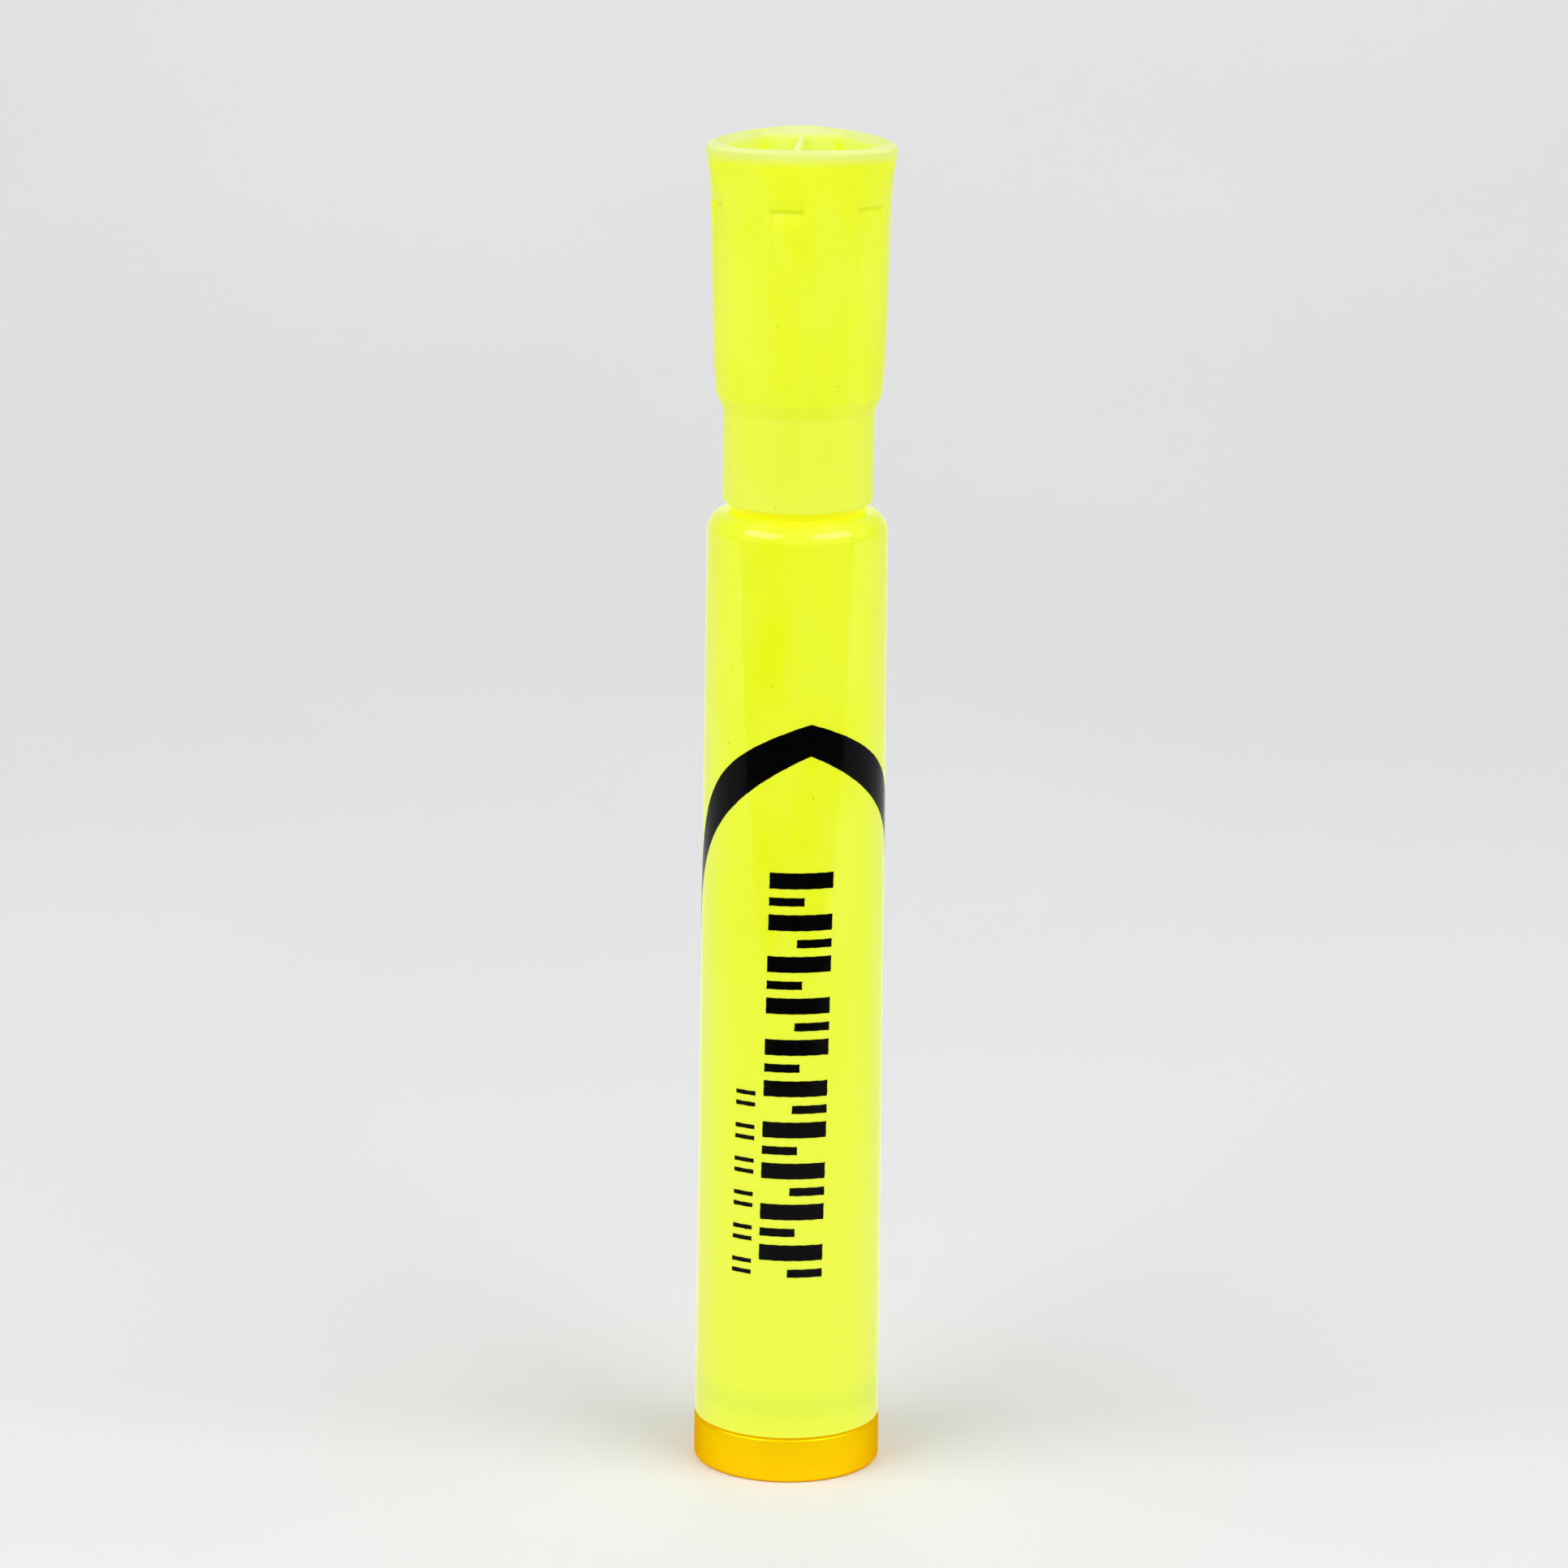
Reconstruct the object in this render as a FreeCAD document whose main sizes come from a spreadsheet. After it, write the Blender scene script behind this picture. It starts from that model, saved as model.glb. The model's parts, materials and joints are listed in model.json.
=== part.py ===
"""Twist-action capped highlighter.

Gold ring knob, drive screw, cartridge with a chisel nib, tapered barrel and pull-off cap.
Origin: centre of the foot. +Z runs up the axis, and -Y is the front. Millimetres.
"""
import FreeCAD, Part
import math
import os
import Sketcher

# Driving dimensions: every alias is a cell of the sheet "dims".
DIMS = {
    # knob: gold ring, moulded core and soft pad
    "ring_r": 9.0, "ring_top": 4.35, "ring_bore": 7.8, "ring_lip_r": 7.2, "ring_lip_top": 0.6,
    "ring_edge": 0.3, "core_top": 4.0, "spigot_r": 5.9, "spigot_top": 5.6,
    "drag_groove_r": 5.1, "drag_groove_low": 4.45, "drag_groove_top": 5.35,
    "drag_ring_r": 5.56, "drag_ring_z": 4.9, "drag_ring_section": 0.43,
    # drive screw and what holds it
    "shank_r": 2.6, "shank_foot": 1.6, "clip_groove_r": 2.0, "clip_low": 5.8, "clip_top": 6.3,
    "clip_r": 4.2, "clip_mouth_half": 1.7, "collar_r": 4.4, "collar_low": 8.5, "collar_top": 9.3,
    "screw_r": 3.2, "screw_top": 32.0, "screw_edge": 0.4,
    "lead": 8.0, "groove_floor_r": 2.35, "groove_mouth_r": 3.6, "groove_half": 0.75,
    "groove_start": 20.0, "groove_climb": 13.0,
    # bush, washer and sleeve inside the barrel
    "bush_r": 7.37, "bush_low": 4.5, "bush_web": 6.4, "bush_top": 8.0, "bush_bore": 2.75,
    "bush_socket_r": 6.1, "washer_r": 5.2, "washer_top": 8.4,
    "sleeve_bore": 6.5, "sleeve_top": 44.0, "slot_half": 1.15, "slot_low": 17.0, "slot_top": 38.0,
    # barrel
    "barrel_low": 4.5, "barrel_foot_r": 8.95, "barrel_head_r": 8.57, "barrel_top": 94.3,
    "barrel_bore": 7.4, "shoulder_under": 92.9, "shoulder_round": 2.1, "shoulder_hole_r": 6.33,
    "barrel_foot_edge": 0.2,
    # nose
    "flange_low": 91.0, "neck_r": 6.3, "neck_top": 101.5, "land_r": 5.45, "land_top": 104.5,
    "nose_tip_r": 4.0, "nose_top": 109.5, "nose_bore": 5.55, "nose_cone_low": 99.5,
    "nose_cone_top": 103.5, "mouth_r": 3.2, "wiper_low": 105.5, "wiper_top": 106.7,
    "wiper_seat_r": 3.65, "wiper_bore": 3.12,
    "seal_seat_r": 6.6, "seal_low": 91.5, "seal_top": 92.3, "seal_ring_r": 6.98,
    "seal_ring_z": 91.9, "seal_section": 0.37,
    # carrier and its pins
    "carrier_r": 6.3, "carrier_low": 20.0, "carrier_web": 32.5, "carrier_top": 33.5,
    "carrier_bore": 3.35, "stem_r": 2.0, "key_r": 7.2, "key_half": 1.0, "key_top": 27.0,
    "key_root_r": 6.0, "pin_r": 0.6, "pin_z": 22.0, "pin_tip_r": 2.5, "pin_length": 3.7,
    # cartridge
    "tube_r": 5.4, "tube_bore": 4.85, "tube_low": 34.5, "tube_top": 90.0,
    "plug_top": 37.5, "stem_low": 32.7, "felt_r": 4.5, "film_r": 4.7, "felt_low": 37.8,
    "felt_top": 86.0, "holder_low": 87.0, "holder_top": 91.0, "holder_cone_top": 94.4,
    "snout_r": 3.0, "snout_top": 105.0, "nib_r": 2.3, "nib_low": 95.0, "nib_tail_r": 1.5,
    "nib_tail_low": 82.0, "nib_top": 109.0, "chisel_low": 106.6, "chisel_flat": 0.7,
    # cap
    "skirt_low": 95.0, "skirt_r": 7.11, "skirt_top_r": 7.15, "step_low": 103.9,
    "step_top": 105.35, "step_r": 7.8, "waist_z": 108.0, "waist_r": 8.03, "girth_z": 121.4,
    "girth_r": 8.36, "cap_bore": 6.42, "cap_bore_top": 118.8,
    "rim_z": 129.4, "corner_r": 10.1, "side_r": 7.9, "corner_round": 1.6,
    "recess_floor": 121.4, "recess_half": 6.3, "recess_point": 7.27, "recess_flat": 3.64,
    "rib_half": 0.4, "rib_reach": 6.8, "rib_drop": 0.3,
    "flute_low": 108.7, "flute_low_r": 8.05, "flute_ledge": 123.7, "flute_ledge_r": 7.95,
    "flute_top": 124.8, "flute_top_r": 8.75, "flute_out_r": 9.9, "flute_half": 1.8,
    "liner_r": 6.4, "liner_bore": 5.57, "liner_low": 102.6, "liner_roof": 118.0,
    "gasket_low": 101.7,
}
FLUTE_COUNT = 6
FLUTE_ANGLE = 20.5      # first flute, degrees from +X towards +Y
RIB_ANGLE = -4.0        # the rib across the cap's recess, degrees from the Y axis
RIM_CORNERS = (90.0, 210.0, 330.0)      # directions of the cap's three corners
CORNER_TO_SIDE = 60.0                   # turn from a corner to the middle of a side
SAME_EDGE = 0.02                        # how closely an edge has to match to be picked

doc = FreeCAD.newDocument("highlighter")
sheet = doc.addObject("Spreadsheet::Sheet", "dims")
parts = []


def fill_sheet():
    """One row for each driving dimension: its name, its value and the alias that formulas use."""
    for row, (alias, value) in enumerate(DIMS.items(), start=1):
        sheet.set("A%d" % row, alias)
        sheet.set("B%d" % row, str(value))
        sheet.setAlias("B%d" % row, alias)
    doc.recompute()


def formula(text):
    """Value and sheet expression of a sum of aliases, such as '-key_r' or 'tube_r - snout_r'."""
    value = 0.0
    sign = 1.0
    words = []
    for word in text.replace("-", " - ").split():
        if word in ("+", "-"):
            sign = 1.0 if word == "+" else -1.0
            words.append(word)
        elif word != "0":
            value += sign * DIMS[word]
            words.append("dims." + word)
    return value, " ".join(words)


def origin_plane(body, role):
    """The body's own origin plane with this role."""
    for feature in body.Origin.OriginFeatures:
        if feature.Role == role:
            return feature
    raise ValueError("no plane " + role)


def new_body(label):
    """Empty body that becomes one node."""
    body = doc.addObject("PartDesign::Body", label)
    body.Label = label
    parts.append(body)
    return body


def new_sketch(body, name, role="XZ_Plane", height=None, turn=0.0):
    """Sketch on an origin plane, raised along +Z or turned about the vertical axis."""
    sketch = body.newObject("Sketcher::SketchObject", name)
    sketch.AttachmentSupport = [(origin_plane(body, role), "")]
    sketch.MapMode = "FlatFace"
    if turn:
        spin = FreeCAD.Rotation(FreeCAD.Vector(0, 1, 0), turn)
        sketch.AttachmentOffset = FreeCAD.Placement(FreeCAD.Vector(0, 0, 0), spin)
    if height:
        sketch.setExpression("AttachmentOffset.Base.z", formula(height)[1])
    return sketch


def pin_coordinate(sketch, line, axis, text):
    """Tie a line's start point to the sheet along one axis of the sketch."""
    if text == "0":
        axis_line = -2 if axis == "DistanceX" else -1
        sketch.addConstraint(Sketcher.Constraint("PointOnObject", line, 1, axis_line))
        return
    value, expression = formula(text)
    if value >= 0.0:
        rule = Sketcher.Constraint(axis, -1, 1, line, 1, value)
        index = sketch.addConstraint(rule)
        sketch.setExpression("Constraints[%d]" % index, expression)
    else:
        rule = Sketcher.Constraint(axis, line, 1, -1, 1, -value)
        index = sketch.addConstraint(rule)
        sketch.setExpression("Constraints[%d]" % index, "-(" + expression + ")")


def add_outline(sketch, points):
    """Closed straight-sided outline, each corner given as two sheet formulas."""
    spots = []
    for across, up in points:
        spots.append(FreeCAD.Vector(formula(across)[0], formula(up)[0], 0))
    lines = []
    for number, spot in enumerate(spots):
        after = spots[(number + 1) % len(spots)]
        lines.append(sketch.addGeometry(Part.LineSegment(spot, after)))
    for number, line in enumerate(lines):
        after = lines[(number + 1) % len(lines)]
        sketch.addConstraint(Sketcher.Constraint("Coincident", line, 2, after, 1))
    for line, (across, up) in zip(lines, points):
        pin_coordinate(sketch, line, "DistanceX", across)
        pin_coordinate(sketch, line, "DistanceY", up)


def turn_solid(body, points, cut=False):
    """Turn an outline of (radius, height) corners about the Z axis."""
    kind = "Groove" if cut else "Revolution"
    sketch = new_sketch(body, body.Label + "_" + kind.lower() + "_outline")
    add_outline(sketch, points)
    solid = body.newObject("PartDesign::" + kind, body.Label + "_" + kind.lower())
    solid.Profile = sketch
    solid.ReferenceAxis = (sketch, ["V_Axis"])
    solid.Angle = 360.0
    return solid


def turned_part(label, points):
    """Node that is one turned solid."""
    body = new_body(label)
    turn_solid(body, points)
    return body


def cut_across(body, name, points, half, role="XZ_Plane", turn=0.0):
    """Pocket an outline to both sides of its plane by a half width, or right through."""
    sketch = new_sketch(body, name + "_outline", role, turn=turn)
    add_outline(sketch, points)
    pocket = body.newObject("PartDesign::Pocket", name)
    pocket.Profile = sketch
    pocket.Midplane = True
    pocket.setExpression("Length", "2 * " + formula(half)[1])
    return pocket


def round_edge(body, name, radius_alias, edge_radius, height):
    """Fillet the circular edge with this radius at this height."""
    doc.recompute()
    base = body.Tip
    names = []
    for number, edge in enumerate(base.Shape.Edges, start=1):
        if not isinstance(edge.Curve, Part.Circle):
            continue
        same_height = abs(edge.Curve.Center.z - formula(height)[0]) < SAME_EDGE
        if same_height and abs(edge.Curve.Radius - formula(edge_radius)[0]) < SAME_EDGE:
            names.append("Edge%d" % number)
    fillet = body.newObject("PartDesign::Fillet", name)
    fillet.Base = (base, names)
    fillet.setExpression("Radius", formula(radius_alias)[1])
    return fillet


def soft_ring(label, radius, section, height):
    """O-ring as a torus."""
    ring = doc.addObject("Part::Torus", label)
    ring.Label = label
    ring.setExpression("Radius1", formula(radius)[1])
    ring.setExpression("Radius2", formula(section)[1])
    ring.setExpression("Placement.Base.z", formula(height)[1])
    parts.append(ring)


# ---------------------------------------------------------------- knob
def make_base_ring():
    body = turned_part("base_ring", [
        ("ring_lip_r", "0"), ("ring_r", "0"), ("ring_r", "ring_top"),
        ("ring_bore", "ring_top"), ("ring_bore", "ring_lip_top"), ("ring_lip_r", "ring_lip_top")])
    round_edge(body, "base_ring_foot_edge", "ring_edge", "ring_r", "0")
    round_edge(body, "base_ring_head_edge", "ring_edge", "ring_r", "ring_top")


def make_base_core():
    """Plug inside the ring, with a spigot that carries the drag ring."""
    turned_part("base_core", [
        ("0", "ring_lip_top"), ("ring_bore", "ring_lip_top"), ("ring_bore", "core_top"),
        ("spigot_r", "core_top"), ("spigot_r", "drag_groove_low"),
        ("drag_groove_r", "drag_groove_low"), ("drag_groove_r", "drag_groove_top"),
        ("spigot_r", "drag_groove_top"), ("spigot_r", "spigot_top"), ("shank_r", "spigot_top"),
        ("shank_r", "shank_foot"), ("0", "shank_foot")])


def make_base_pad():
    pad = doc.addObject("Part::Cylinder", "base_pad")
    pad.Label = "base_pad"
    pad.setExpression("Radius", "dims.ring_lip_r")
    pad.setExpression("Height", "dims.ring_lip_top")
    parts.append(pad)


def make_drive_screw():
    """Spindle: shank, collar and a two-start right-hand groove that is open at the top."""
    body = turned_part("drive_screw", [
        ("0", "shank_foot"), ("shank_r", "shank_foot"), ("shank_r", "clip_low"),
        ("clip_groove_r", "clip_low"), ("clip_groove_r", "clip_top"), ("shank_r", "clip_top"),
        ("shank_r", "collar_low"), ("collar_r", "collar_low"), ("collar_r", "collar_top"),
        ("screw_r", "collar_top"), ("screw_r", "screw_top - screw_edge"),
        ("screw_r - screw_edge", "screw_top"), ("0", "screw_top")])
    for start in range(2):
        sketch = new_sketch(body, "drive_groove_outline_%d" % (start + 1), turn=180.0 * start)
        add_outline(sketch, [
            ("groove_floor_r", "groove_start - groove_half"),
            ("groove_mouth_r", "groove_start - groove_half"),
            ("groove_mouth_r", "groove_start + groove_half"),
            ("groove_floor_r", "groove_start + groove_half")])
        groove = body.newObject("PartDesign::SubtractiveHelix", "drive_groove_%d" % (start + 1))
        groove.Profile = sketch
        groove.ReferenceAxis = (sketch, ["V_Axis"])
        groove.Mode = 0
        groove.setExpression("Pitch", "dims.lead")
        groove.setExpression("Height", "dims.groove_climb")
        groove.LeftHanded = False
        doc.recompute()


def make_retaining_clip():
    """Open ring that snaps into the shank's groove."""
    body = turned_part("retaining_clip", [
        ("clip_groove_r", "clip_low"), ("clip_r", "clip_low"), ("clip_r", "clip_top"),
        ("clip_groove_r", "clip_top")])
    cut_across(body, "clip_mouth", [
        ("0", "bush_low"), ("washer_r", "bush_low"), ("washer_r", "bush_web"),
        ("0", "bush_web")], "clip_mouth_half")


# ---------------------------------------------------------------- fixed pieces in the barrel
def make_end_bush():
    turned_part("end_bush", [
        ("bush_socket_r", "bush_low"), ("bush_r", "bush_low"), ("bush_r", "bush_top"),
        ("bush_bore", "bush_top"), ("bush_bore", "bush_web"), ("bush_socket_r", "bush_web")])


def make_thrust_washer():
    turned_part("thrust_washer", [
        ("bush_bore", "bush_top"), ("washer_r", "bush_top"), ("washer_r", "washer_top"),
        ("bush_bore", "washer_top")])


def make_guide_sleeve():
    """Sleeve with a slot on each side for the carrier's keys."""
    body = turned_part("guide_sleeve", [
        ("sleeve_bore", "bush_top"), ("bush_r", "bush_top"), ("bush_r", "sleeve_top"),
        ("sleeve_bore", "sleeve_top")])
    cut_across(body, "guide_slots", [
        ("-slot_half", "slot_low"), ("slot_half", "slot_low"),
        ("slot_half", "slot_top"), ("-slot_half", "slot_top")],
        "bush_r + bush_r", role="YZ_Plane")


def make_barrel():
    body = turned_part("barrel", [
        ("barrel_bore", "barrel_low"), ("barrel_foot_r", "barrel_low"),
        ("barrel_head_r", "barrel_top"), ("shoulder_hole_r", "barrel_top"),
        ("shoulder_hole_r", "shoulder_under"), ("barrel_bore", "shoulder_under")])
    round_edge(body, "barrel_shoulder", "shoulder_round", "barrel_head_r", "barrel_top")
    round_edge(body, "barrel_foot", "barrel_foot_edge", "barrel_foot_r", "barrel_low")


def make_nose():
    """Flange under the shoulder, neck for the cap, sealing land and nose cone."""
    turned_part("nose", [
        ("nose_bore", "flange_low"), ("bush_r", "flange_low"), ("bush_r", "seal_low"),
        ("seal_seat_r", "seal_low"), ("seal_seat_r", "seal_top"), ("bush_r", "seal_top"),
        ("bush_r", "shoulder_under"), ("neck_r", "shoulder_under"), ("neck_r", "neck_top"),
        ("land_r", "neck_top"), ("land_r", "land_top"), ("nose_tip_r", "nose_top"),
        ("mouth_r", "nose_top"), ("mouth_r", "wiper_top"), ("wiper_seat_r", "wiper_top"),
        ("wiper_seat_r", "wiper_low"), ("mouth_r", "wiper_low"), ("mouth_r", "nose_cone_top"),
        ("nose_bore", "nose_cone_low")])


def make_nib_wiper():
    turned_part("nib_wiper", [
        ("wiper_bore", "wiper_low"), ("wiper_seat_r", "wiper_low"),
        ("wiper_seat_r", "wiper_top"), ("wiper_bore", "wiper_top")])


# ---------------------------------------------------------------- cartridge
def make_carrier():
    """Nut that climbs the screw: two keys in the sleeve's slots, two pins in the grooves."""
    body = turned_part("carrier", [
        ("carrier_bore", "carrier_low"), ("carrier_r", "carrier_low"),
        ("carrier_r", "carrier_top"), ("stem_r", "carrier_top"), ("stem_r", "carrier_web"),
        ("carrier_bore", "carrier_web")])
    sketch = new_sketch(body, "carrier_key_outline", "XY_Plane", height="carrier_low")
    add_outline(sketch, [
        ("key_root_r", "-key_half"), ("key_r", "-key_half"),
        ("key_r", "key_half"), ("key_root_r", "key_half")])
    add_outline(sketch, [
        ("-key_r", "-key_half"), ("-key_root_r", "-key_half"),
        ("-key_root_r", "key_half"), ("-key_r", "key_half")])
    keys = body.newObject("PartDesign::Pad", "carrier_keys")
    keys.Profile = sketch
    keys.setExpression("Length", "dims.key_top - dims.carrier_low")
    doc.recompute()
    holes = new_sketch(body, "carrier_pin_hole_outline")
    circle = Part.Circle(FreeCAD.Vector(0, DIMS["pin_z"], 0), FreeCAD.Vector(0, 0, 1), DIMS["pin_r"])
    hole = holes.addGeometry(circle)
    holes.addConstraint(Sketcher.Constraint("PointOnObject", hole, 3, -2))
    rise = holes.addConstraint(Sketcher.Constraint("DistanceY", -1, 1, hole, 3, DIMS["pin_z"]))
    holes.setExpression("Constraints[%d]" % rise, "dims.pin_z")
    size = holes.addConstraint(Sketcher.Constraint("Radius", hole, DIMS["pin_r"]))
    holes.setExpression("Constraints[%d]" % size, "dims.pin_r")
    drill = body.newObject("PartDesign::Pocket", "carrier_pin_holes")
    drill.Profile = holes
    drill.Midplane = True
    drill.setExpression("Length", "4 * dims.carrier_r")


def make_follower_pins():
    """Two radial pins, one behind and one in front of the screw."""
    pins = []
    for side, turn in (("back", -90.0), ("front", 90.0)):
        pin = doc.addObject("Part::Cylinder", "follower_pin_" + side)
        pin.setExpression("Radius", "dims.pin_r")
        pin.setExpression("Height", "dims.pin_length")
        pin.Placement.Rotation = FreeCAD.Rotation(FreeCAD.Vector(1, 0, 0), turn)
        sign = "" if side == "back" else "-"
        pin.setExpression("Placement.Base.y", sign + "dims.pin_tip_r")
        pin.setExpression("Placement.Base.z", "dims.pin_z")
        pins.append(pin)
    pair = doc.addObject("Part::Compound", "follower_pins")
    pair.Label = "follower_pins"
    pair.Links = pins
    parts.append(pair)


def make_cartridge_plug():
    turned_part("cartridge_plug", [
        ("0", "stem_low"), ("stem_r", "stem_low"), ("stem_r", "carrier_top"),
        ("tube_r", "carrier_top"), ("tube_r", "tube_low"), ("tube_bore", "tube_low"),
        ("tube_bore", "plug_top"), ("0", "plug_top")])


def make_cartridge_tube():
    turned_part("cartridge_tube", [
        ("tube_bore", "tube_low"), ("tube_r", "tube_low"), ("tube_r", "tube_top"),
        ("tube_bore", "tube_top")])


def make_ink_reservoir():
    """Felt rod with a socket for the nib's tail."""
    turned_part("ink_reservoir", [
        ("0", "felt_low"), ("felt_r", "felt_low"), ("felt_r", "felt_top"),
        ("nib_tail_r", "felt_top"), ("nib_tail_r", "nib_tail_low"), ("0", "nib_tail_low")])


def make_reservoir_film():
    turned_part("reservoir_film", [
        ("felt_r", "felt_low"), ("film_r", "felt_low"), ("film_r", "felt_top"),
        ("felt_r", "felt_top")])


def make_nib_holder():
    """Plug in the tube, flange, cone and snout."""
    turned_part("nib_holder", [
        ("nib_tail_r", "holder_low"), ("tube_bore", "holder_low"), ("tube_bore", "tube_top"),
        ("tube_r", "tube_top"), ("tube_r", "holder_top"), ("snout_r", "holder_cone_top"),
        ("snout_r", "snout_top"), ("nib_r", "snout_top"), ("nib_r", "nib_low"),
        ("nib_tail_r", "nib_low")])


def make_chisel_nib():
    """Felt nib: tail, round body and a slanted chisel end."""
    body = turned_part("chisel_nib", [
        ("0", "nib_tail_low"), ("nib_tail_r", "nib_tail_low"), ("nib_tail_r", "nib_low"),
        ("nib_r", "nib_low"), ("nib_r", "nib_top"), ("0", "nib_top")])
    cut_across(body, "chisel_slant", [
        ("-nib_r", "nib_top"), ("nib_r + chisel_flat", "chisel_low"),
        ("nib_r + chisel_flat", "nib_top + chisel_flat"),
        ("-nib_r", "nib_top + chisel_flat")], "nib_r + nib_r")


# ---------------------------------------------------------------- cap
def side_radius():
    """Radius of the rim's bulged sides, tangent to the corner arcs, as value and expression."""
    reach = DIMS["corner_r"] - DIMS["corner_round"]
    inset = DIMS["side_r"] - DIMS["corner_round"]
    value = DIMS["side_r"] + (reach ** 2 - inset ** 2) / (2 * inset - reach)
    reach_text = "(dims.corner_r - dims.corner_round)"
    inset_text = "(dims.side_r - dims.corner_round)"
    gap_text = "(%s * %s - %s * %s)" % (reach_text, reach_text, inset_text, inset_text)
    return value, "dims.side_r + %s / (2 * %s - %s)" % (gap_text, inset_text, reach_text)


def rim_arcs():
    """Rounded triangle: corner, side, corner ... as (centre, radius, start, end) in degrees."""
    reach = DIMS["corner_r"] - DIMS["corner_round"]
    offset = side_radius()[0] - DIMS["side_r"]
    half = math.radians(CORNER_TO_SIDE)
    lean = math.degrees(math.atan2(reach * math.sin(half), reach * math.cos(half) + offset))
    arcs = []
    for corner in RIM_CORNERS:
        side = corner + CORNER_TO_SIDE
        toward = FreeCAD.Vector(math.cos(math.radians(corner)), math.sin(math.radians(corner)), 0)
        away = FreeCAD.Vector(math.cos(math.radians(side)), math.sin(math.radians(side)), 0)
        first = corner - CORNER_TO_SIDE + lean
        arcs.append((toward * reach, DIMS["corner_round"], first, side - lean))
        arcs.append((away * -offset, side_radius()[0], side - lean, side + lean))
    return arcs


def draw_arcs(sketch, arcs):
    """Put the arcs in the sketch and give their numbers."""
    numbers = []
    for centre, radius, first, last in arcs:
        circle = Part.Circle(centre, FreeCAD.Vector(0, 0, 1), radius)
        arc = Part.ArcOfCircle(circle, math.radians(first), math.radians(last))
        numbers.append(sketch.addGeometry(arc))
    return numbers


def bind(sketch, rule, expression):
    """Add a sized constraint and tie it to the sheet."""
    index = sketch.addConstraint(rule)
    sketch.setExpression("Constraints[%d]" % index, expression)


def draw_girth(sketch):
    """Circle in six arcs, which meet the rim's arcs one to one."""
    arcs = []
    for centre, radius, first, last in rim_arcs():
        arcs.append((FreeCAD.Vector(0, 0, 0), DIMS["girth_r"], first, last))
    numbers = draw_arcs(sketch, arcs)
    for number, after in zip(numbers, numbers[1:] + numbers[:1]):
        sketch.addConstraint(Sketcher.Constraint("Coincident", number, 2, after, 1))
    for number in numbers[:-1]:
        sketch.addConstraint(Sketcher.Constraint("Coincident", number, 3, -1, 1))
    sketch.addConstraint(Sketcher.Constraint("Equal", numbers[0], numbers[-1]))
    rule = Sketcher.Constraint("Radius", numbers[0], DIMS["girth_r"])
    bind(sketch, rule, "dims.girth_r")


def draw_rim(sketch):
    """Three rounded corners, with a bulged side tangent to each pair."""
    reach = DIMS["corner_r"] - DIMS["corner_round"]
    reach_text = "(dims.corner_r - dims.corner_round)"
    across = reach * math.cos(math.radians(90.0 - CORNER_TO_SIDE))
    numbers = draw_arcs(sketch, rim_arcs())
    far, left, right = numbers[0], numbers[2], numbers[4]
    for number, after in zip(numbers, numbers[1:] + numbers[:1]):
        sketch.addConstraint(Sketcher.Constraint("Tangent", number, 2, after, 1))
    sketch.addConstraint(Sketcher.Constraint("PointOnObject", far, 3, -2))
    rule = Sketcher.Constraint("DistanceY", -1, 1, far, 3, reach)
    bind(sketch, rule, reach_text)
    for corner, rule in (
            (left, Sketcher.Constraint("DistanceX", left, 3, -1, 1, across)),
            (right, Sketcher.Constraint("DistanceX", -1, 1, right, 3, across))):
        bind(sketch, rule, reach_text + " * cos(30)")
        rule = Sketcher.Constraint("DistanceY", corner, 3, -1, 1, reach / 2)
        bind(sketch, rule, reach_text + " / 2")
    for corner in (far, left, right):
        rule = Sketcher.Constraint("Radius", corner, DIMS["corner_round"])
        bind(sketch, rule, "dims.corner_round")
    value, expression = side_radius()
    for side in (numbers[1], numbers[3], numbers[5]):
        bind(sketch, Sketcher.Constraint("Radius", side, value), expression)


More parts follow.
